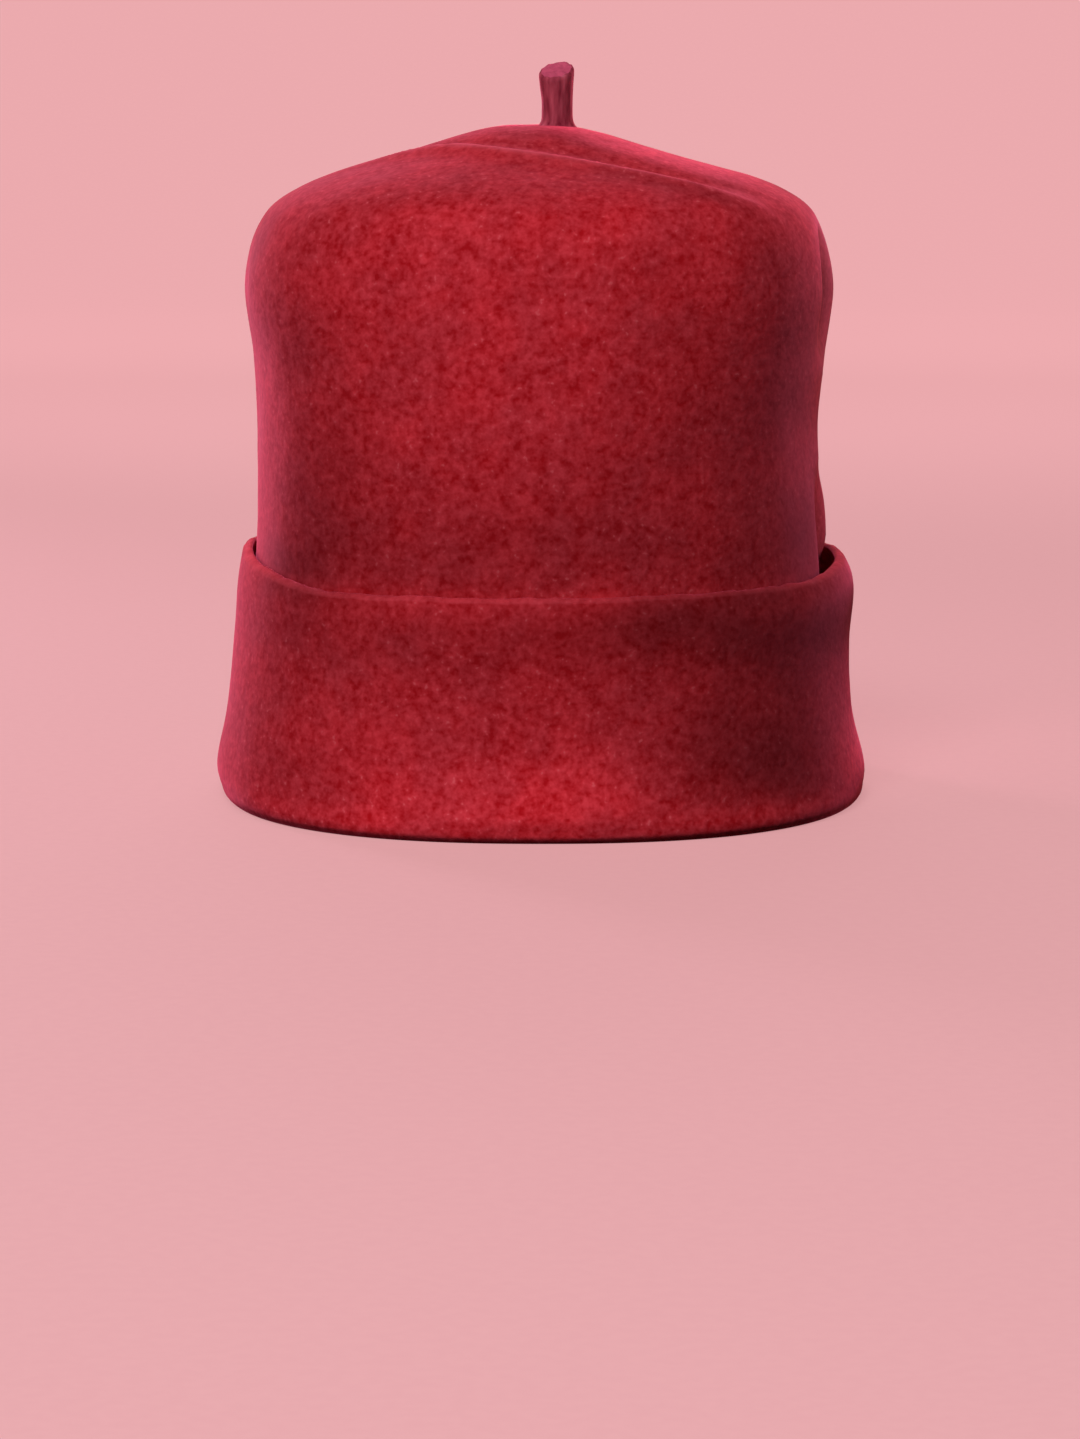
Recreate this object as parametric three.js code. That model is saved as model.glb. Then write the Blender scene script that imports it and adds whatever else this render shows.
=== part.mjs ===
// A brimless felt cap in millimetres, +Z up. The front faces -Y and the wearer's left is +X.
// The origin is on the surface that the rim rests on, below the middle of the cap.
//
// The cap is one sheet of felt: it runs down from the top, around the shoulder and down the
// wall, turns up around a soft fold at the rim, and ends in a cut edge as a cuff outside the
// wall. A short felt stalk stands on the top.
import * as THREE from 'three';

// ---------- driving dimensions ----------
const FELT = 2.4;                 // thickness of the felt
const SEAT_GAP = 0.3;             // what separate pieces leave between them
const BEARINGS = 60;              // steps around the cap
const CROWDING = 0.35;            // how much closer together the steps are at the side dent
const EGG = 0.025;                // how much narrower the oval is towards the forehead

// The felt's middle surface, from the top of the crown to the cuff's cut edge. Each row is
// an oval: its height, half of its width and of its length, its shift to +X, the power of its
// outline (2 = an ellipse, more is squarer), and the number of steps that the faceted wall
// takes from this row to the next.
const SECTIONS = [
  { height: 180.6, halfWidth: 0, halfLength: 0, shift: -2.0, power: 2.1, steps: 1 },
  { height: 179.7, halfWidth: 14, halfLength: 17, shift: -1.8, power: 2.1, steps: 4 },
  { height: 171.9, halfWidth: 41, halfLength: 49, shift: -1.3, power: 2.1, steps: 4 },
  { height: 164.2, halfWidth: 64.6, halfLength: 75.6, shift: -0.4, power: 2.2, steps: 2 },
  { height: 155.6, halfWidth: 75.2, halfLength: 88.4, shift: -0.2, power: 2.2, steps: 2 },
  { height: 139.0, halfWidth: 79.4, halfLength: 92.8, shift: -0.5, power: 2.2, steps: 2 },
  { height: 119.0, halfWidth: 76.8, halfLength: 94.4, shift: -0.4, power: 2.2, steps: 2 },
  { height: 99.0, halfWidth: 75.4, halfLength: 95.3, shift: -0.8, power: 2.2, steps: 2 },
  { height: 72.0, halfWidth: 76.8, halfLength: 95.0, shift: 0.3, power: 2.2, steps: 2 },
  { height: 40.0, halfWidth: 79.2, halfLength: 96.0, shift: 0, power: 2.3, steps: 1 },
  { height: 12.0, halfWidth: 81.7, halfLength: 98.0, shift: 0.3, power: 2.2, steps: 1 },
  { height: 3.6, halfWidth: 82.2, halfLength: 98.3, shift: 0.6, power: 2.35, steps: 2 },
  { height: 1.7, halfWidth: 82.9, halfLength: 99.0, shift: 0.7, power: 2.35, steps: 2 },
  { height: 0.8, halfWidth: 84.7, halfLength: 100.9, shift: 0.8, power: 2.35, steps: 2 },
  { height: 1.7, halfWidth: 86.5, halfLength: 102.8, shift: 0.8, power: 2.35, steps: 2 },
  { height: 3.6, halfWidth: 87.2, halfLength: 103.6, shift: 0.6, power: 2.35, steps: 1 },
  { height: 9.0, halfWidth: 87.9, halfLength: 104.2, shift: 0.2, power: 2.2, steps: 2 },
  { height: 24.0, halfWidth: 84.6, halfLength: 101.2, shift: 0, power: 2.3, steps: 1 },
  { height: 42.0, halfWidth: 83.3, halfLength: 100.2, shift: 0.6, power: 2.2, steps: 1 },
  { height: 57.0, halfWidth: 82.9, halfLength: 99.6, shift: 1.6, power: 2.2, steps: 2 },
  { height: 64.8, halfWidth: 80.8, halfLength: 98.0, shift: 0.95, power: 2.2, steps: 0 },
];

// How far the cuff's cut edge stands above or below its own row, around the cap: the bearing
// in degrees from +X towards the back.
const EDGE = [
  { bearing: 0, rise: 0.5 },
  { bearing: 90, rise: 0 },
  { bearing: 175, rise: 0.9 },
  { bearing: 203, rise: 0.3 },
  { bearing: 224, rise: -2.2 },
  { bearing: 245, rise: -1.9 },
  { bearing: 270, rise: -1.8 },
  { bearing: 300, rise: -1.5 },
  { bearing: 328, rise: -1.8 },
];

// Soft dents pressed into the crown's wall: the bearing of each one's middle, its half-width
// in degrees, its lowest and highest heights, how softly it ends, and how far it goes in. A
// negative depth is a bulge.
const DENTS = [
  { bearing: -7, halfWidth: 8.5, low: 124, high: 150, ends: 9, depth: 6.4 },
  { bearing: 12, halfWidth: 10, low: 116, high: 148, ends: 12, depth: -1.5 },
  { bearing: -6, halfWidth: 8, low: 46, high: 84, ends: 9, depth: 4.2 },
  { bearing: 12, halfWidth: 10, low: 56, high: 84, ends: 7, depth: -1.4 },
  { bearing: 6, halfWidth: 11, low: 44, high: 64, ends: 6, depth: 3.0 },
  { bearing: 188, halfWidth: 8, low: 90, high: 150, ends: 16, depth: 0.8 },
];

// The pressing crease across the top. It rises in front of the stalk, so that the top is a
// little flatter behind it. Each row is a place along it: how far right, how far back, and how
// much higher than the plain dome the felt stands there.
const CREASE = [
  { right: -74, back: -2, rise: 0 },
  { right: -52, back: -8, rise: 1.0 },
  { right: -30, back: -21, rise: 1.5 },
  { right: -8, back: -40, rise: 1.2 },
  { right: 14, back: -49, rise: 1.2 },
  { right: 40, back: -56, rise: 1.4 },
  { right: 66, back: -52, rise: 0 },
];
const RIDGE_HALF_WIDTH = 7;
const VALLEY_HALF_WIDTH = 9;      // the hollow that lies behind the crease's ridge
const VALLEY_BACK = 14;           // from the ridge back to the hollow
const VALLEY_SHARE = 0.9;         // how deep the hollow is, as a share of the ridge's rise
const CREASE_FADE = { low: 150, high: 166 };   // the crease fades out between these heights

const STALK_HEIGHT = 14.6;        // from the crown up to the middle of its cut top
const STALK_SIDES = 20;
const STALK_PLACE = { right: 4.8, back: 2 };
const STALK_LEAN = { right: -0.3, back: -0.8 };   // how far the top is off the foot
const STALK_CUT = { right: 0.13, back: 0.5 };   // how steeply the cut top rises each way
// The stalk's sections from its foot upwards: how far up, as a share of its height, and
// half of its width and depth.
const STALK_SECTIONS = [
  { share: 0, halfWidth: 5.7, halfDepth: 5.5 },
  { share: 0.06, halfWidth: 4.9, halfDepth: 4.7 },
  { share: 0.18, halfWidth: 4.4, halfDepth: 4.2 },
  { share: 0.5, halfWidth: 4.2, halfDepth: 4.0 },
  { share: 0.84, halfWidth: 4.7, halfDepth: 4.4 },
  { share: 0.95, halfWidth: 4.7, halfDepth: 4.4 },
  { share: 1, halfWidth: 3.9, halfDepth: 3.6 },
];

const FELT_COLOUR = 0x9c1f27;
const STALK_COLOUR = 0x7d2130;

// ---------- small helpers ----------
const degrees = Math.PI / 180;

// A smooth 0 to 1 step.
function rise(x, low, high) {
  const t = THREE.MathUtils.clamp((x - low) / (high - low), 0, 1);
  return t * t * (3 - 2 * t);
}

// A bell of height 1 that is nearly gone at twice its half-width.
function bell(x, halfWidth) {
  return Math.exp(-((x / halfWidth) ** 2));
}

// A smooth curve through four values, from b at t = 0 to c at t = 1.
function spline(a, b, c, d, t) {
  const v0 = (c - a) / 2;
  const v1 = (d - b) / 2;
  return (2 * (b - c) + v0 + v1) * t ** 3 + (3 * (c - b) - 2 * v0 - v1) * t ** 2 + v0 * t + b;
}

// A column of a table as a smooth function of the row's number, which may be between rows.
// The table is carried on straight at its ends, or with the value given for before it.
function along(rows, column, at, before = 2 * rows[0][column] - rows[1][column]) {
  const last = rows.length - 1;
  const after = 2 * rows[last][column] - rows[last - 1][column];
  const values = [before, ...rows.map((row) => row[column]), after];
  const i = Math.min(Math.floor(at), last - 1);
  return spline(values[i], values[i + 1], values[i + 2], values[i + 3], at - i);
}

// The distance from the middle to an oval of unit half-axes, at a bearing.
function ovalReach(bearing, power) {
  const c = Math.abs(Math.cos(bearing)) ** power;
  const s = Math.abs(Math.sin(bearing)) ** power;
  return (c + s) ** (-1 / power);
}

// ---------- the felt body ----------
// How far the crease lifts the felt at a place on the top.
function creaseLift(x, y) {
  const next = CREASE.findIndex((row) => row.right > x);
  if (next <= 0) return 0;
  const before = CREASE[next - 1];
  const at = next - 1 + (x - before.right) / (CREASE[next].right - before.right);
  const ridge = along(CREASE, 'back', at);
  const height = along(CREASE, 'rise', at);
  const hollow = VALLEY_SHARE * bell(y - ridge - VALLEY_BACK, VALLEY_HALF_WIDTH);
  return height * (bell(y - ridge, RIDGE_HALF_WIDTH) - hollow);
}

function dentDepth(bearing, height) {
  let depth = 0;
  for (const dent of DENTS) {
    const off = THREE.MathUtils.euclideanModulo(bearing / degrees - dent.bearing + 180, 360) - 180;
    const up = rise(height, dent.low - dent.ends, dent.low + dent.ends);
    const down = 1 - rise(height, dent.high - dent.ends, dent.high + dent.ends);
    depth += dent.depth * bell(off, dent.halfWidth) * up * down;
  }
  return depth;
}

function edgeRise(bearing) {
  const turned = THREE.MathUtils.euclideanModulo(bearing / degrees, 360);
  const i = EDGE.findLastIndex((row) => row.bearing <= turned);
  const row = (k) => EDGE[THREE.MathUtils.euclideanModulo(i + k, EDGE.length)];
  const span = THREE.MathUtils.euclideanModulo(row(1).bearing - row(0).bearing, 360);
  const t = (turned - row(0).bearing) / span;
  return spline(row(-1).rise, row(0).rise, row(1).rise, row(2).rise, t);
}

// The crown is the part of the sheet before the fold, and only it has the dents and crease.
const LAST_ROW = SECTIONS.length - 1;
const FOLD_ROW = SECTIONS.reduce((low, row, i) => (row.height < SECTIONS[low].height ? i : low), 0);

// A point of the felt's middle surface. `at` counts the rows of SECTIONS, and the surface is
// the same on both sides of its top, where the rows begin.
function middle(at, bearing) {
  const halfWidth = along(SECTIONS, 'halfWidth', at, -SECTIONS[1].halfWidth);
  const halfLength = along(SECTIONS, 'halfLength', at, -SECTIONS[1].halfLength);
  const shift = along(SECTIONS, 'shift', at, SECTIONS[1].shift);
  let height = along(SECTIONS, 'height', at, SECTIONS[1].height);
  const c = Math.cos(bearing);
  const s = Math.sin(bearing);
  let reach = ovalReach(bearing, along(SECTIONS, 'power', at));
  if (at < FOLD_ROW) {
    reach *= 1 - dentDepth(bearing, height) / Math.max(halfWidth, 1);
  }
  const x = halfWidth * reach * c * (1 + EGG * s) + shift;
  const y = halfLength * reach * s;
  if (at < FOLD_ROW) {
    height += creaseLift(x, y) * rise(height, CREASE_FADE.low, CREASE_FADE.high);
  } else {
    height += edgeRise(bearing) * ((at - FOLD_ROW) / (LAST_ROW - FOLD_ROW)) ** 2;
  }
  return new THREE.Vector3(x, y, height);
}

// The direction square to the felt: out of the crown, and towards the crown from the cuff.
function normal(at, bearing) {
  const step = 0.02;
  if (at < step) return new THREE.Vector3(0, 0, 1);
  const down = middle(Math.min(at + step, LAST_ROW), bearing).sub(middle(at - step, bearing));
  const around = middle(at, bearing + step).sub(middle(at, bearing - step));
  return around.cross(down).negate().normalize();
}

// The felt's surface on one side of its middle, never below the surface that it rests on.
function face(at, bearing, side) {
  const point = middle(at, bearing).addScaledVector(normal(at, bearing), side * FELT / 2);
  point.z = Math.max(point.z, 0);
  return point;
}

// A closed mesh from rings of equally many points, with a point at each end.
function closedMesh(first, loops, last) {
  const count = loops[0].length;
  const points = [first, ...loops.flat(), last];
  const faces = [];
  const index = (loop, i) => 1 + loop * count + (i % count);
  for (let i = 0; i < count; i += 1) {
    faces.push(0, index(0, i), index(0, i + 1));
    faces.push(index(loops.length - 1, i + 1), index(loops.length - 1, i), points.length - 1);
    for (let loop = 0; loop < loops.length - 1; loop += 1) {
      faces.push(index(loop, i), index(loop + 1, i), index(loop + 1, i + 1));
      faces.push(index(loop, i), index(loop + 1, i + 1), index(loop, i + 1));
    }
  }
  const geometry = new THREE.BufferGeometry().setFromPoints(points);
  geometry.setIndex(faces);
  geometry.computeVertexNormals();
  return geometry;
}

function feltBody() {
  const rings = SECTIONS.flatMap((row, i) => (
    Array.from({ length: row.steps }, (_, k) => i + k / row.steps)
  )).filter((at) => at > 0);
  rings.push(LAST_ROW);
  const bearings = Array.from({ length: BEARINGS }, (_, i) => {
    const even = 2 * Math.PI * i / BEARINGS;
    return even - CROWDING * Math.sin(even);
  });
  const outside = rings.map((at) => bearings.map((b) => face(at, b, 1)));
  const inside = rings.map((at) => bearings.map((b) => face(at, b, -1))).reverse();
  return closedMesh(face(0, 0, 1), [...outside, ...inside], face(0, 0, -1));
}

// ---------- the stalk ----------
// The height of the crown's outside at a place near its middle. The row that passes through
// the place is found by halving a span of rows again and again.
function crownHeight(x, y) {
  const { shift, halfWidth, halfLength } = SECTIONS[1];
  const bearing = Math.atan2(y / halfLength, (x - shift) / halfWidth);
  let at = 1;
  for (let span = 1; span > 0.001; span /= 2) {
    const point = face(at, bearing, 1);
    const inside = Math.hypot(point.x - shift, point.y) < Math.hypot(x - shift, y);
    at += inside ? span / 2 : -span / 2;
  }
  return face(at, bearing, 1).z;
}

function stalkPoint(row, angle) {
  const offRight = row.halfWidth * Math.cos(angle);
  const offBack = row.halfDepth * Math.sin(angle);
  const x = STALK_PLACE.right + STALK_LEAN.right * row.share + offRight;
  const y = STALK_PLACE.back + STALK_LEAN.back * row.share + offBack;
  const foot = crownHeight(x, y) + SEAT_GAP;
  const middleFoot = crownHeight(STALK_PLACE.right, STALK_PLACE.back) + SEAT_GAP;
  const top = middleFoot + STALK_HEIGHT + STALK_CUT.right * offRight + STALK_CUT.back * offBack;
  return new THREE.Vector3(x, y, foot + (top - foot) * row.share);
}

function stalk() {
  const angles = Array.from({ length: STALK_SIDES }, (_, i) => -2 * Math.PI * i / STALK_SIDES);
  const loops = STALK_SECTIONS.map((row) => angles.map((a) => stalkPoint(row, a)));
  const foot = stalkPoint({ ...STALK_SECTIONS[0], halfWidth: 0, halfDepth: 0 }, 0);
  const top = stalkPoint({ ...STALK_SECTIONS.at(-1), halfWidth: 0, halfDepth: 0 }, 0);
  return closedMesh(foot, loops, top);
}

// ---------- the cap ----------
const cap = new THREE.Group();

function addPiece(name, geometry, colour) {
  const material = new THREE.MeshStandardMaterial({ color: colour, roughness: 0.95, metalness: 0 });
  const mesh = new THREE.Mesh(geometry, material);
  mesh.name = name;
  cap.add(mesh);
}

addPiece('felt_body', feltBody(), FELT_COLOUR);
addPiece('stalk', stalk(), STALK_COLOUR);

export default cap;
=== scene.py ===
"""A tall brimless felt cap with a turned-up cuff and a short stalk on its top, standing on its
rim. The front faces -Y and the wearer's left is +X. Lengths in the tables are in millimetres."""
import math

import bpy
import numpy as np
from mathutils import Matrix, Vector, noise
from mathutils.bvhtree import BVHTree


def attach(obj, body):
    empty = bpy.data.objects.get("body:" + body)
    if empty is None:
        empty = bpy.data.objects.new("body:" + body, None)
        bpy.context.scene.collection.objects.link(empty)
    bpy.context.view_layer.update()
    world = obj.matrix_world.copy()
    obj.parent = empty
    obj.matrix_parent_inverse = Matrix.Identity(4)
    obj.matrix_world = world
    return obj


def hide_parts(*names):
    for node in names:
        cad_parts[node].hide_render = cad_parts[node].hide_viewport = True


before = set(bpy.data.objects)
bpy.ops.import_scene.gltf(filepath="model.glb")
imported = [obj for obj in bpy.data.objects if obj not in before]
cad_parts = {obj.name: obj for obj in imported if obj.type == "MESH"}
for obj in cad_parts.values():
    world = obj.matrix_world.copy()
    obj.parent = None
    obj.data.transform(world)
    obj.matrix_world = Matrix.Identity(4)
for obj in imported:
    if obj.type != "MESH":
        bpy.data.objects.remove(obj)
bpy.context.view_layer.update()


# ---- The felt body --------------------------------------------------------------------------
# One hood of thick wool felt, felted in hot water, dyed red and pulled over a block while wet.
# It runs from the top down the wall, turns up around a soft fold at the rim, and ends in a cut
# edge as the cuff. Nothing is sewn: the fold was pressed in with steam.
MM = 0.001
FELT = 2.4                          # thickness
EGG = 0.025                         # how much narrower the oval is towards the forehead
BEARINGS = 340                      # points around the cap
RING_STEP = 1.9                     # between rings where the felt shows
HIDDEN_STEP = 6.0                   # between rings inside the hollow and behind the cuff
RING_TURN = 0.24                    # the most that the felt turns from ring to ring, in radians
MEASURED_AT = -0.9                  # the bearing, in radians, where the steps are measured

# The sheet's middle surface, from the top to the cut edge. Every row is an oval: its height,
# half its width and its length, how far to +X its middle is, and its power, which is 2 for an
# ellipse and more for a squarer oval.
SECTIONS = np.array([
    (180.6, 0, 0, -2.0, 2.1),
    (179.7, 14, 17, -1.8, 2.1),
    (171.9, 41, 49, -1.3, 2.1),
    (164.2, 64.6, 75.6, -0.4, 2.2),
    (155.6, 75.2, 88.4, -0.2, 2.2),
    (139.0, 79.4, 92.8, -0.5, 2.2),
    (119.0, 76.8, 94.4, -0.4, 2.2),
    (99.0, 75.4, 95.3, -0.8, 2.2),
    (72.0, 76.8, 95.0, 0.3, 2.2),
    (40.0, 79.2, 96.0, 0.0, 2.3),
    (12.0, 81.7, 98.0, 0.3, 2.2),
    (3.6, 82.2, 98.3, 0.6, 2.35),
    (1.7, 82.9, 99.0, 0.7, 2.35),
    (0.8, 84.7, 100.9, 0.8, 2.35),
    (1.7, 86.5, 102.8, 0.8, 2.35),
    (3.6, 87.2, 103.6, 0.6, 2.35),
    (9.0, 87.9, 104.2, 0.2, 2.2),
    (24.0, 84.6, 101.2, 0.0, 2.3),
    (42.0, 83.3, 100.2, 0.6, 2.2),
    (57.0, 82.9, 99.6, 1.6, 2.2),
    (64.8, 80.8, 98.0, 0.95, 2.2),
], dtype=[(name, float) for name in ("height", "half_width", "half_length", "shift", "power")])
LAST_ROW = len(SECTIONS) - 1
FOLD_ROW = int(np.argmin(SECTIONS["height"]))

# How far the cut edge stands above or below its row, at bearings in degrees from +X towards
# the back.
EDGE = np.array([
    (0, 0.5),
    (90, 0.0),
    (178, 3.4),
    (203, 0.6),
    (224, -2.2),
    (245, -1.9),
    (270, -1.8),
    (300, -1.5),
    (328, -1.8),
], dtype=[("bearing", float), ("rise", float)])

# The cut edge's own outline, from the hidden side of the cuff to the side that shows: where it
# is across the felt's thickness, from 1 to -1, and how far below the top of the edge. It was cut
# at a slant and has worn round.
CUT = np.array([
    (1.2, 0.75),
    (1.1, 0.3),
    (0.9, 0.05),
    (0.55, 0.0),
    (0.15, 0.1),
    (-0.25, 0.35),
    (-0.6, 0.75),
    (-0.85, 1.25),
    (-0.97, 1.75),
    (-1.0, 2.3),
], dtype=[("across", float), ("below", float)])
LAST_STEP = 7.9                     # from the last row but one to the last, along the felt
CUT_WORN = 0.25                     # how much of the worn felt's colour shows there

# Soft dents pressed into the crown's wall. A negative depth is a bulge.
DENTS = np.array([
    (-7, 8.5, 124, 150, 9, 6.4),
    (12, 10, 116, 148, 12, -1.5),
    (-6, 8, 46, 84, 9, 4.2),
    (12, 10, 56, 84, 7, -1.4),
    (6, 11, 44, 64, 6, 3.0),
    (188, 8, 90, 150, 16, 0.8),
], dtype=[(name, float) for name in ("bearing", "half_width", "low", "high", "ends", "depth")])

# The ridge of the pressing crease across the top: how far right, how far back, its rise, how
# much of the worn felt's paler colour is painted on its crest as a highlight, and how much painted
# shade lies in front of it. It is sharp, and the felt dips behind it.
CREASE = np.array([
    (-74, -2, 0, 0, 0),
    (-52, -8, 0.6, 0.4, 0),
    (-30, -21, 1.5, 0.6, 0),
    (-8, -40, 1.2, 0.6, 0.05),
    (14, -49, 1.2, 0.4, 0.14),
    (40, -56, 1.4, 0.2, 0.26),
    (66, -52, 0, 0, 0.14),
], dtype=[(name, float) for name in ("right", "back", "rise", "worn_and_highlight", "darker")])
CREASE_END = 74
CREASE_FADE = (150.0, 166.0)        # the crease fades out between these heights
RIDGE_FRONT = 6.0                   # half-widths of the ridge before and behind its crest
RIDGE_BACK = 3.0
VALLEY_BACK = 9.5
VALLEY_HALF_WIDTH = 6.5
VALLEY_SHARE = 0.9
CREST_HIGHLIGHT_HALF_WIDTH = 3.0               # of the painted highlight on the crest
SHADED_AHEAD = 6.5                  # from the crest to the painted shade in front of it
SHADED_HALF_WIDTH = 4.5

# Unevenness left by the steaming and the pressing, each a wavelength and a height, and how
# the cut edge strays up and down.
RELIEF = ((42, 0.5), (17, 0.2), (6, 0.07))
FLAT_BELOW = (2, 12)                # the relief grows from nothing to full between these heights
FRAY = ((14, 0.5), (5, 0.3), (2, 0.2))
FRAYED = 5.0                        # how far below the edge the felt strays with it

# Light and shade painted into the felt's colour as soft lighter and darker patches, most of them on
# the front: painted shade in the side dents, above and below the cuff's edge and on the darker
# sides, and painted light on the lit middle, on the limbs and along the fold. For each: the part,
# the bearing and height of the middle, how far it reaches in bearing and in height, and how much
# lighter it is than the plain colour.
PAINTED_LIGHT_AND_SHADE = np.array([
    ("crown", 4, 137, 8, 20, -0.34),
    ("crown", 6, 64, 9, 13, -0.5),
    ("crown", 60, 90, 14, 24, -0.12),
    ("crown", 90, 120, 30, 30, 0.08),
    ("crown", 150, 110, 20, 34, -0.08),
    ("crown", 197, 145, 12, 24, -0.3),
    ("crown", 208, 67, 14, 7, -0.4),
    ("crown", 209, 126, 12, 22, 0.14),
    ("crown", 222, 86, 15, 22, -0.18),
    ("crown", 231, 97, 8, 14, -0.12),
    ("crown", 252, 145, 8, 12, 0.06),
    ("crown", 262, 125, 22, 32, 0.10),
    ("crown", 270, 70, 75, 12, -0.24),
    ("crown", 272, 84, 14, 12, -0.12),
    ("crown", 275, 172, 25, 7, 0.06),
    ("crown", 280, 131, 8, 12, 0.1),
    ("crown", 284, 64, 14, 8, 0.14),
    ("crown", 286, 94, 8, 11, -0.10),
    ("crown", 290, 158, 16, 7, 0.12),
    ("crown", 297, 112, 7, 22, -0.05),
    ("crown", 307, 150, 10, 14, 0.1),
    ("crown", 314, 138, 14, 22, 0.08),
    ("crown", 324, 92, 10, 30, -0.08),
    ("crown", 335, 74, 14, 16, -0.4),
    ("crown", 343, 142, 8, 24, 0.45),
    ("cuff", 80, 20, 40, 14, 0.12),
    ("cuff", 130, 48, 16, 16, -0.12),
    ("cuff", 218, 44, 10, 26, 0.1),
    ("cuff", 220, 62, 16, 4, -0.34),
    ("cuff", 221, 50, 11, 15, -0.12),
    ("cuff", 266, 12, 32, 12, 0.42),
    ("cuff", 270, 3, 170, 6, 0.3),
    ("cuff", 272, 52, 60, 10, -0.25),
    ("cuff", 287, 58, 14, 7, -0.26),
    ("cuff", 298, 16, 9, 12, -0.18),
    ("cuff", 300, 55, 14, 12, -0.14),
    ("cuff", 301, 26, 8, 14, -0.2),
    ("cuff", 316, 62, 24, 4, -0.24),
    ("cuff", 316, 14, 14, 12, -0.3),
    ("cuff", 318, 36, 15, 30, -0.39),
    ("cuff", 345, 48, 20, 14, -0.42),
    ("cuff", 350, 11, 16, 9, 0.8),
    ("cuff", 352, 22, 16, 24, 0.4),
], dtype=[("part", "U5"), ("bearing", float), ("height", float), ("wide", float), ("tall", float),
          ("lighter", float)])


def smooth_step(x, low, high):
    t = np.clip((x - low) / (high - low), 0, 1)
    return t * t * (3 - 2 * t)


def bell(x, half_width):
    return np.exp(-(x / half_width) ** 2)


def turn_between(bearing, other):
    """The angle from one bearing to another in degrees, from -180 to 180."""
    return (np.degrees(bearing) - other + 180) % 360 - 180


def spline(a, b, c, d, t):
    """A smooth curve through four values, from b at t = 0 to c at t = 1."""
    v0, v1 = (c - a) / 2, (d - b) / 2
    return (2 * (b - c) + v0 + v1) * t**3 + (3 * (c - b) - 2 * v0 - v1) * t**2 + v0 * t + b


def along(column, at, before=None):
    """A table's column as a smooth function of the row number, which may be between rows."""
    first = 2 * column[0] - column[1] if before is None else before
    values = np.concatenate([[first], column, [2 * column[-1] - column[-2]]])
    i = np.clip(np.floor(at).astype(int), 0, len(column) - 2)
    return spline(values[i], values[i + 1], values[i + 2], values[i + 3], at - i)


def near_crease(x, y):
    """Where along the crease's table a place is, and how far behind the crest."""
    at = np.interp(x, CREASE["right"], np.arange(len(CREASE)))
    return at, y - along(CREASE["back"], at)


def crease_lift(x, y):
    """How far the pressing crease lifts the top at a place."""
    at, behind = near_crease(x, y)
    rise = along(CREASE["rise"], at) * (np.abs(x) < CREASE_END)
    ridge = np.where(behind < 0, bell(behind, RIDGE_FRONT), bell(behind, RIDGE_BACK))
    return rise * (ridge - VALLEY_SHARE * bell(behind - VALLEY_BACK, VALLEY_HALF_WIDTH))


def dent_depth(bearing, height):
    """How far the crown's wall is pressed in at some bearings and heights."""
    depth = np.zeros_like(bearing)
    for dent in DENTS:
        up = smooth_step(height, dent["low"] - dent["ends"], dent["low"] + dent["ends"])
        down = smooth_step(height, dent["high"] - dent["ends"], dent["high"] + dent["ends"])
        off = turn_between(bearing, dent["bearing"])
        depth += dent["depth"] * bell(off, dent["half_width"]) * up * (1 - down)
    return depth


def edge_rise(bearing):
    """How far the cut edge stands above its row, on a smooth closed curve through the table."""
    turned = np.degrees(bearing) % 360
    starts = EDGE["bearing"]
    i = np.searchsorted(starts, turned, side="right") - 1
    rows = [EDGE["rise"][(i + k) % len(EDGE)] for k in (-1, 0, 1, 2)]
    span = (starts[(i + 1) % len(EDGE)] - starts[i]) % 360
    return spline(*rows, (turned - starts[i]) / span)


def middle(at, bearing):
    """Points of the sheet's middle surface, for row numbers and bearings of the same shape."""
    half_width = along(SECTIONS["half_width"], at, -SECTIONS["half_width"][1])
    half_length = along(SECTIONS["half_length"], at, -SECTIONS["half_length"][1])
    shift = along(SECTIONS["shift"], at, SECTIONS["shift"][1])
    height = along(SECTIONS["height"], at, SECTIONS["height"][1])
    power = along(SECTIONS["power"], at)
    c, s = np.cos(bearing), np.sin(bearing)
    reach = (np.abs(c) ** power + np.abs(s) ** power) ** (-1 / power)
    crown = at < FOLD_ROW
    pressed_in = dent_depth(bearing, height) / np.maximum(half_width, 1)
    reach = np.where(crown, reach * (1 - pressed_in), reach)
    x = half_width * reach * c * (1 + EGG * s) + shift
    y = half_length * reach * s
    cuff_share = np.clip((at - FOLD_ROW) / (LAST_ROW - FOLD_ROW), 0, 1)
    height = height + np.where(crown, crease_lift(x, y) * smooth_step(height, *CREASE_FADE), 0)
    height = height + edge_rise(bearing) * cuff_share**2
    return np.stack([x, y, height], axis=-1)


def normal(at, bearing):
    """The direction square to the sheet: out of the crown, and towards it from the cuff."""
    step = 0.02                     # a small part of a row, and of a radian
    down = middle(np.minimum(at + step, LAST_ROW), bearing) - middle(at - step, bearing)
    around = middle(at, bearing + step) - middle(at, bearing - step)
    square = np.cross(down, around)
    length = np.linalg.norm(square, axis=-1, keepdims=True)
    return np.where(length > 1e-9, square / np.maximum(length, 1e-9), (0.0, 0.0, 1.0))


def lumps(points, scales):
    """Smooth random heights at some points, from pairs of a wavelength and a height."""
    return np.array([sum(high * noise.noise(Vector(point) / long) for long, high in scales)
                     for point in points])


def unevenness(points):
    """How far the felt stands out of its smooth shape, none of it where it lies on its rim."""
    return lumps(points, RELIEF) * smooth_step(points[:, 2], *FLAT_BELOW)


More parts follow.
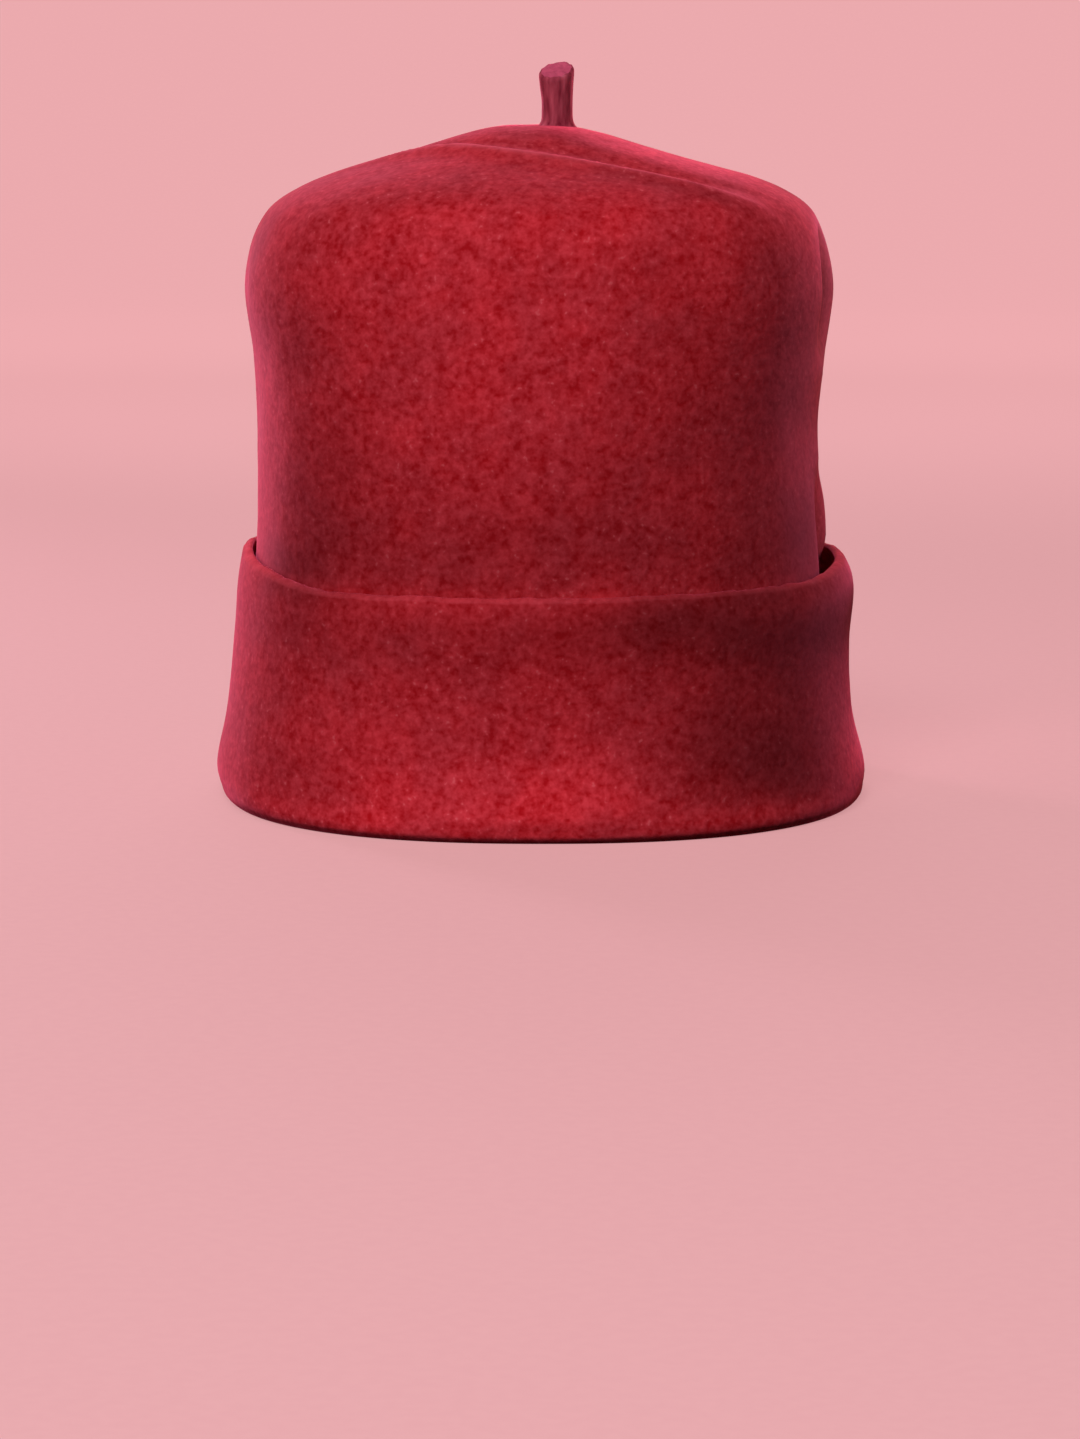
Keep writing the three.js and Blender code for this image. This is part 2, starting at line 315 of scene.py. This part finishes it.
def ring(at, bearing, side):
    """One ring of points, `side` of the way from the sheet's middle, 0, to its outside, 1, or
    its inside, -1."""
    rows = np.full_like(bearing, float(at))
    points = middle(rows, bearing)
    points += normal(rows, bearing) * (side * FELT / 2 + unevenness(points))[:, None]
    frayed = smooth_step(at, LAST_ROW - FRAYED / LAST_STEP, LAST_ROW)
    if frayed > 0:
        points[:, 2] += frayed * lumps(points, FRAY)
    points[:, 2] = np.maximum(points[:, 2], 0)
    return points


def ring_rows(step):
    """Row numbers with a ring at least every `step` along the felt, and closer where it turns."""
    at = np.linspace(0, LAST_ROW, 6000)
    line = middle(at, np.full_like(at, MEASURED_AT))
    move = np.diff(line, axis=0)
    slope = np.unwrap(np.arctan2(move[:, 2], np.hypot(move[:, 0], move[:, 1])))
    slope = np.concatenate([slope, slope[-1:]])
    count = np.linalg.norm(move, axis=1) / step + np.abs(np.diff(slope)) / RING_TURN
    count = np.concatenate([[0], np.cumsum(count)])
    return np.interp(np.linspace(0, count[-1], int(count[-1]) + 2), count, at)[1:]


def felt_rings():
    """Each ring's row number and side in order: down the sheet's outside, around the cut edge,
    and back up its inside. What shows is the crown's outside and the cuff's inside."""
    shown, hidden = ring_rows(RING_STEP), ring_rows(HIDDEN_STEP)
    cut_rows = LAST_ROW - CUT["below"] / LAST_STEP
    outside = np.concatenate([shown[shown < FOLD_ROW], hidden[hidden >= FOLD_ROW]])
    inside = np.concatenate([hidden[hidden < FOLD_ROW], shown[shown >= FOLD_ROW]])[::-1]
    rings = [(at, 1) for at in outside if at < cut_rows[0]]
    rings += list(zip(cut_rows, CUT["across"]))
    rings += [(at, -1) for at in inside if at < cut_rows[-1]]
    return rings


def painted_light_and_shade_tone(at, bearing, points):
    """How much light and shade is painted into the felt's colour at each point of a ring, as how
    much lighter it is than its plain colour.
    """
    tone = np.zeros(len(points))
    part = "crown" if at < FOLD_ROW else "cuff"
    for mark in PAINTED_LIGHT_AND_SHADE[PAINTED_LIGHT_AND_SHADE["part"] == part]:
        wide = bell(turn_between(bearing, mark["bearing"]), mark["wide"])
        tone += mark["lighter"] * wide * bell(points[:, 2] - mark["height"], mark["tall"])
    if part == "crown":
        # Painted shade in front of the crease's crest.
        where, behind = near_crease(points[:, 0], points[:, 1])
        shaded = along(CREASE["darker"], where) * bell(behind + SHADED_AHEAD, SHADED_HALF_WIDTH)
        tone -= shaded * smooth_step(points[:, 2], *CREASE_FADE)
    return tone


def worn_and_highlight_share(at, points):
    """How much of the worn felt's paler colour shows at each point of a ring: on the cut edge, where
    it has worn, and on the crease's crest, where it paints a highlight."""
    if at >= FOLD_ROW:
        return np.full(len(points), CUT_WORN * (LAST_ROW - at < CUT["below"][-2] / LAST_STEP))
    where, behind = near_crease(points[:, 0], points[:, 1])
    crest = along(CREASE["worn_and_highlight"], where) * bell(behind, CREST_HIGHLIGHT_HALF_WIDTH)
    return crest * smooth_step(points[:, 2], *CREASE_FADE)


def closed_mesh(name, rings, first, last):
    """A closed mesh from rings of equally many points, with a point at each end."""
    count = rings.shape[1]
    points = np.concatenate([[first], rings.reshape(-1, 3), [last]]) * MM
    i = np.arange(count)
    j = (i + 1) % count
    faces = [(0, a, b) for a, b in zip(1 + i, 1 + j)]
    for k in range(len(rings) - 1):
        low, high = 1 + k * count, 1 + (k + 1) * count
        faces += list(zip(low + i, high + i, high + j, low + j))
    tail = 1 + (len(rings) - 1) * count
    faces += [(tail + b, tail + a, len(points) - 1) for a, b in zip(i, j)]
    mesh = bpy.data.meshes.new(name)
    mesh.from_pydata(points.tolist(), [], [tuple(int(v) for v in face) for face in faces])
    mesh.shade_smooth()
    piece = bpy.data.objects.new(name, mesh)
    bpy.context.scene.collection.objects.link(piece)
    return piece


def put_values(piece, name, values):
    """A value for each point of a piece, for its material to read."""
    layer = piece.data.attributes.new(name, "FLOAT", "POINT")
    layer.data.foreach_set("value", np.asarray(values, dtype=np.float32))


bearings = 2 * np.pi * np.arange(BEARINGS) / BEARINGS
order = felt_rings()
rings = np.array([ring(at, bearings, side) for at, side in order])
top = np.array([SECTIONS["shift"][0], 0, SECTIONS["height"][0]])
felt_body = closed_mesh("felt_sheet", rings, top + (0, 0, FELT / 2), top - (0, 0, FELT / 2))
# How much light and shade is painted into the felt's colour at each point.
tones = [painted_light_and_shade_tone(at, bearings, points) for (at, side), points in zip(order, rings)]
put_values(felt_body, "painted_light_and_shade", np.concatenate([[0], np.ravel(tones), [0]]))
# How much of the worn felt's colour shows at each point, which also paints a highlight along the
# crease's crest.
shares = [worn_and_highlight_share(at, points) for (at, side), points in zip(order, rings)]
put_values(felt_body, "worn_and_highlight", np.concatenate([[0], np.ravel(shares), [0]]))


class Wire:
    """An output in a shader. Sums and products of wires add their Math nodes."""

    def __init__(self, socket):
        self.socket = socket
        self.tree = socket.id_data

    def node(self, kind, settings=None, inputs=None, output=0):
        """Any other node: its settings are set first, then the values or links of its inputs."""
        made = self.tree.nodes.new("ShaderNode" + kind)
        for name, value in (settings or {}).items():
            setattr(made, name, value)
        for name, value in (inputs or {}).items():
            socket = next(s for s in made.inputs if name in (s.identifier, s.name))
            if isinstance(value, Wire):
                self.tree.links.new(value.socket, socket)
            else:
                socket.default_value = value
        return Wire(made.outputs[output])

    def math(self, operation, a, b=0.0):
        return self.node("Math", {"operation": operation}, {"Value": a, "Value_001": b})

    def __add__(self, other):
        return self.math("ADD", self, other)

    def __mul__(self, other):
        return self.math("MULTIPLY", self, other)

    def __sub__(self, other):
        return self.math("SUBTRACT", self, other)

    def __rsub__(self, other):
        return self.math("SUBTRACT", other, self)

    __radd__ = __add__
    __rmul__ = __mul__

    def between(self, low, high):
        """A smooth 0 to 1 as the value goes from low to high."""
        return self.node("MapRange", {"interpolation_type": "SMOOTHSTEP"},
                         {"Value": self, "From Min": low, "From Max": high})

    def mix(self, a, b):
        """The colour a where this is 0 and b where it is 1."""
        return self.node("Mix", {"data_type": "RGBA"},
                         {"Factor_Float": self, "A_Color": a, "B_Color": b}, output=2)

    def scaled(self, factor):
        """This colour or vector times a value."""
        return self.node("VectorMath", {"operation": "SCALE"}, {"Vector": self, "Scale": factor})

    def times(self, other):
        """This colour or vector times another."""
        return self.node("VectorMath", {"operation": "MULTIPLY"},
                         {"Vector": self, "Vector_001": other})

    def noise(self, scale, detail=2.0, roughness=0.5):
        """Noise on this vector, with `scale` lumps to the metre."""
        return self.node("TexNoise", inputs={"Vector": self, "Scale": scale, "Detail": detail,
                                              "Roughness": roughness})

    def value_of(self, name):
        """The value that a piece's points hold under a name."""
        return self.node("Attribute", {"attribute_name": name}, output=2)


def new_material(name, **constants):
    """A material, its Principled shader with the given constants, and its object coordinates."""
    material = bpy.data.materials.new(name)
    material.use_nodes = True
    shader = material.node_tree.nodes["Principled BSDF"]
    for socket, value in constants.items():
        shader.inputs[socket.replace("_", " ")].default_value = value
    place = Wire(material.node_tree.nodes.new("ShaderNodeTexCoord").outputs["Object"])
    return material, shader, place


def feed(shader, **wires):
    """Links each wire to the shader's input of that name."""
    for socket, wire in wires.items():
        shader.id_data.links.new(wire.socket, shader.inputs[socket.replace("_", " ")])


# How many lumps to the metre each noise in the felt has, from single fibres to patches of dye.
FIBRES = 1700
GRAIN = 700
TUFTS = 340
CLOUDS = 90
DYE_PATCHES = 55
DARKEST_MOTTLE = 1.3                # what the mottle's noises add up to in the deepest colour
LESS_RED, MORE_RED = (0.9, 1, 1, 1), (1.1, 1, 1, 1)
LINT_SHARE = 0.4
NAP_HEIGHT = 0.0004                 # in metres


def felt_material(name, deep, pale, lint, worn_and_highlight, drawn):
    """Felt whose fibres, from `deep` to `pale`, make a mottle at several scales, with `lint` on its
    highest grains and a paler worn colour where it has worn, which also paints a highlight along the
    crease's crest. Light and shade painted in at the piece's points scale its colour. It is drawn
    out along the axes where `drawn` is less than 1."""
    material, shader, place = new_material(
        name, Roughness=0.95, Specular_IOR_Level=0.06,
        Sheen_Weight=0.42, Sheen_Roughness=0.37, Sheen_Tint=(1.0, 0.13, 0.28, 1))
    place = place.times(drawn)
    fibre = place.noise(FIBRES, detail=1)
    grain = place.noise(GRAIN, detail=1)
    tufts = place.noise(TUFTS, detail=1)
    cloud = place.noise(CLOUDS, detail=1)
    mottle = fibre * 0.45 + grain * 1.5 + tufts * 1.4 + cloud * 0.25 - DARKEST_MOTTLE
    base = mottle.mix(deep, pale)
    dye = place.noise(DYE_PATCHES, detail=3, roughness=0.6).between(0.3, 0.7)
    base = base.times(dye.mix(LESS_RED, MORE_RED))
    base = (grain.between(0.68, 0.8) * LINT_SHARE).mix(base, lint)
    # The worn felt's paler colour, which also paints a highlight along the crease's crest.
    base = place.value_of("worn_and_highlight").mix(base, worn_and_highlight)
    # The painted light and shade scale the colour at the piece's points.
    base = base.scaled(place.value_of("painted_light_and_shade") + 1)
    nap = tufts * 0.7 + grain * 0.5 + fibre * 0.1
    bump = place.node("Bump", inputs={"Strength": 0.4, "Distance": NAP_HEIGHT, "Height": nap})
    feed(shader, Base_Color=base, Normal=bump)
    return material


felt_red = felt_material(
    "red_wool_felt", deep=(0.32, 0.003, 0.007, 1), pale=(0.52, 0.03, 0.045, 1),
    lint=(0.62, 0.10, 0.12, 1), worn_and_highlight=(0.62, 0.07, 0.1, 1), drawn=(1, 0.6, 1))
felt_body.data.materials.append(felt_red)
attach(felt_body, "root")
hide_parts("felt_body")


# ---- The stalk ------------------------------------------------------------------------------
# A short stem of the same felt in the middle of the top, rolled between the palms while wet and
# felted onto the hood, then cut off at a slant. It flares a little where it joins.
STALK_SIDES = 72
STALK_HEIGHT = 15.0                 # from the crown to the middle of the cut top
STALK_PLACE = (4.8, 2.0)
STALK_LEAN = (-0.3, -0.8)           # how far the top is off the foot
STALK_CUT = (0.13, 0.5)             # how steeply the cut top rises to +X and to the back
STALK_SINK = 0.5                    # how deep the foot is in the crown's nap
STALK_RIDGE = 0.22                  # how high the rolled ridges stand
STALK_RIDGES_AROUND = 2.6           # how closely they stand
STALK_RIDGES_WANDER = Vector((1.3, 0, 1.1))     # how they change from the foot to the top
STALK_LUMP = 0.18                   # how high the softer lumps stand
STALK_LUMPS_AROUND = 1.1            # how closely they lie around the stalk, and up it
STALK_LUMPS_UP = 3.5
STALK_LUMPS_START = 3.1             # where in the noise they begin
STALK_THICK = 4.5                   # the half-width that those heights are meant for
STALK_ROUGH = 0.5                   # how uneven the cut top is
STALK_ROUGHNESS = 0.7               # how closely its lumps lie

# From the foot up: how far up, as a share of the height, and half the width and the depth.
STALK_SECTIONS = np.array([
    (0.0, 6.2, 6.0),
    (0.03, 5.4, 5.2),
    (0.08, 4.7, 4.5),
    (0.18, 4.3, 4.1),
    (0.5, 4.2, 4.0),
    (0.84, 4.7, 4.4),
    (0.94, 4.8, 4.5),
    (0.985, 4.6, 4.3),
    (1.0, 4.1, 3.8),
], dtype=[(name, float) for name in ("share", "half_width", "half_depth")])
STALK_RINGS = 44
CUT_RINGS = 7
STALK_CUT_WORN = 0.6


crown_tree = BVHTree.FromPolygons([v.co for v in felt_body.data.vertices],
                                  [p.vertices for p in felt_body.data.polygons])


def crown_height(x, y):
    """The height of the crown's outside above a place."""
    above = Vector((x, y, 300)) * MM
    hit = crown_tree.ray_cast(above, Vector((0, 0, -1)))
    return hit[0].z / MM


stalk_middle = crown_height(*STALK_PLACE)


def stalk_ring(share, half_width, half_depth, angles):
    """One ring of the stalk, with the ridges that rolling it left along it."""
    points = []
    for angle in angles:
        around = Vector((math.cos(angle), math.sin(angle), 0))
        ridge = STALK_RIDGE * noise.noise(around * STALK_RIDGES_AROUND + STALK_RIDGES_WANDER * share)
        up = Vector((STALK_LUMPS_START, STALK_LUMPS_UP * share, 0))
        lump = STALK_LUMP * noise.noise(around * STALK_LUMPS_AROUND + up)
        swell = 1 + (ridge + lump) * half_width / STALK_THICK / max(half_width, 1)
        right, back = half_width * swell * around.x, half_depth * swell * around.y
        x = STALK_PLACE[0] + STALK_LEAN[0] * share + right
        y = STALK_PLACE[1] + STALK_LEAN[1] * share + back
        foot = crown_height(x, y) - STALK_SINK
        high = stalk_middle + STALK_HEIGHT + STALK_CUT[0] * right + STALK_CUT[1] * back
        high += STALK_ROUGH * noise.noise(Vector((right, back, 0)) * STALK_ROUGHNESS)
        points.append((x, y, foot + (high - foot) * share))
    return points


angles = [-2 * math.pi * i / STALK_SIDES for i in range(STALK_SIDES)]
rows = np.linspace(0, len(STALK_SECTIONS) - 1, STALK_RINGS)
columns = [along(STALK_SECTIONS[name], rows) for name in STALK_SECTIONS.dtype.names]
stem = [stalk_ring(share, wide, deep, angles) for share, wide, deep in zip(*columns)]
last_width, last_depth = STALK_SECTIONS["half_width"][-1], STALK_SECTIONS["half_depth"][-1]
inner = [k / CUT_RINGS for k in range(CUT_RINGS - 1, 0, -1)]
stem += [stalk_ring(1.0, last_width * k, last_depth * k, angles) for k in inner]
stem = np.array(stem)
foot_middle = stem[0].mean(axis=0)
cut_middle = stem[-1].mean(axis=0)
stalk = closed_mesh("stalk_stem", stem, foot_middle, cut_middle)
ring_worn = [0.0] * (STALK_RINGS - 1) + [STALK_CUT_WORN] * (len(inner) + 1)
stalk_worn = np.repeat(ring_worn, STALK_SIDES)
put_values(stalk, "worn_and_highlight", np.concatenate([[0], stalk_worn, [STALK_CUT_WORN]]))
put_values(stalk, "painted_light_and_shade", np.zeros(len(stalk.data.vertices)))
stalk_felt = felt_material(
    "stalk_wool_felt", deep=(0.16, 0.01, 0.024, 1), pale=(0.46, 0.07, 0.11, 1),
    lint=(0.5, 0.14, 0.22, 1), worn_and_highlight=(0.7, 0.1, 0.2, 1), drawn=(1, 1, 0.2))
stalk.data.materials.append(stalk_felt)
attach(stalk, "root")
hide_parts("stalk")


# ---- The floor, the light and the camera ------------------------------------------------------
# A round floor of pale pink paper sweeps up into a wall all around. It has no lamps of its own
# and glows a little instead. Soft panel lamps light the cap: one in front, one at its side, one
# behind and three at its limbs. The camera looks at the front and a little down.
FLOOR_RADIUS = 2.6
SWEEP_RADIUS = 1.0
WALL_TOP = 4.0
PAPER_SIDES = 96
PAPER_GRAIN = 300                   # lumps to the metre
GLOW_FROM, GLOW_TO = 0.5, 2.3       # the glow grows between these distances from the cap


def paper_bowl():
    """A closed-in studio of revolution: floor, sweep and wall in one sheet."""
    turns = [math.radians(a) for a in range(0, 91, 5)]
    profile = [(0.001, 0.0), (FLOOR_RADIUS * 0.5, 0.0)]
    for a in turns:
        out = FLOOR_RADIUS + SWEEP_RADIUS * math.sin(a)
        profile.append((out, SWEEP_RADIUS * (1 - math.cos(a))))
    profile.append((FLOOR_RADIUS + SWEEP_RADIUS, WALL_TOP))
    points = []
    for radius, height in profile:
        for i in range(PAPER_SIDES):
            a = 2 * math.pi * i / PAPER_SIDES
            points.append((radius * math.cos(a), radius * math.sin(a), height))
    faces = []
    for k in range(len(profile) - 1):
        low, high = k * PAPER_SIDES, (k + 1) * PAPER_SIDES
        for i in range(PAPER_SIDES):
            j = (i + 1) % PAPER_SIDES
            faces.append((low + i, low + j, high + j, high + i))
    mesh = bpy.data.meshes.new("paper_bowl")
    mesh.from_pydata(points, [], faces)
    mesh.shade_smooth()
    piece = bpy.data.objects.new("paper_bowl", mesh)
    bpy.context.scene.collection.objects.link(piece)
    return piece


paper = paper_bowl()
paper.visible_diffuse = False       # the paper throws no light back onto the cap
paper_material, paper_shader, paper_place = new_material(
    "pale_paper", Roughness=0.9, Specular_IOR_Level=0.1, Emission_Strength=1.0)
paper_tone = paper_place.noise(PAPER_GRAIN).between(0.3, 0.7)
far = paper_place.node("VectorMath", {"operation": "LENGTH"}, {"Vector": paper_place}, output=1)
glow = far.between(GLOW_FROM, GLOW_TO).mix((0.60, 0.285, 0.3, 1), (0.81, 0.39, 0.41, 1))
feed(paper_shader, Base_Color=paper_tone.mix((0.15, 0.09, 0.095, 1), (0.16, 0.098, 0.102, 1)),
     Emission_Color=glow)
paper.data.materials.append(paper_material)


def studio_light(name, turn, rise, distance, size, power, colour, aim=0.1, spread=180):
    """A soft panel light aimed at the height `aim` on the cap's middle line: it stands `turn`
    degrees from the front towards +X and is seen `rise` degrees up. `spread` is the angle that
    its grid lets the light out at."""
    turn, rise = math.radians(turn), math.radians(rise)
    level = math.cos(rise)
    place = Vector((level * math.sin(turn), -level * math.cos(turn), math.sin(rise)))
    light = bpy.data.lights.new(name, "AREA")
    light.shape = "RECTANGLE"
    light.size, light.size_y = size
    light.energy = power
    light.color = colour
    light.spread = math.radians(spread)
    lamp = bpy.data.objects.new(name, light)
    lamp.location = place * distance + Vector((0, 0, aim))
    lamp.rotation_euler = (-place).to_track_quat("-Z", "Y").to_euler()
    bpy.context.scene.collection.objects.link(lamp)


studio_light("key_light", -9, 42, 1.7, (0.5, 0.5), 21.5, (1, 0.97, 0.96))
studio_light("left_fill", -60, 15, 1.7, (0.5, 0.5), 4.5, (1, 0.92, 1))
studio_light("back_light", 180, 25, 1.6, (0.8, 0.5), 6, (1, 0.85, 0.9))
studio_light("left_rim", -147, 6, 1.3, (0.25, 0.8), 3.05, (1, 0.58, 0.7), spread=70)
studio_light("right_rim", 140, 8, 0.6, (0.1, 0.1), 0.088, (1, 0.5, 0.56), aim=0.15, spread=20)
studio_light("right_low", 124, 9, 0.6, (0.1, 0.1), 0.033, (1, 0.5, 0.56), aim=0.022, spread=18)

world = bpy.data.worlds.new("room")
world.use_nodes = True
world.node_tree.nodes["Background"].inputs["Color"].default_value = (1.0, 0.8, 0.84, 1)
world.node_tree.nodes["Background"].inputs["Strength"].default_value = 0.03
bpy.context.scene.world = world
bpy.context.scene.view_settings.view_transform = "Standard"

CAMERA_HEIGHT = 0.2
CAMERA_BACK = 1.4
AIM_HEIGHT = 0.019
VIEW_HEIGHT = 0.3972                # what the frame takes in at the aim's distance
SENSOR = 36
camera_data = bpy.data.cameras.new("camera")
camera_data.sensor_fit = "VERTICAL"
camera_data.sensor_height = SENSOR
camera_data.lens = SENSOR * math.hypot(CAMERA_BACK, CAMERA_HEIGHT - AIM_HEIGHT) / VIEW_HEIGHT
camera = bpy.data.objects.new("camera", camera_data)
camera.location = (0, -CAMERA_BACK, CAMERA_HEIGHT)
aim = Vector((0, 0, AIM_HEIGHT))
camera.rotation_euler = (aim - camera.location).to_track_quat("-Z", "Y").to_euler()
bpy.context.scene.collection.objects.link(camera)
bpy.context.scene.camera = camera
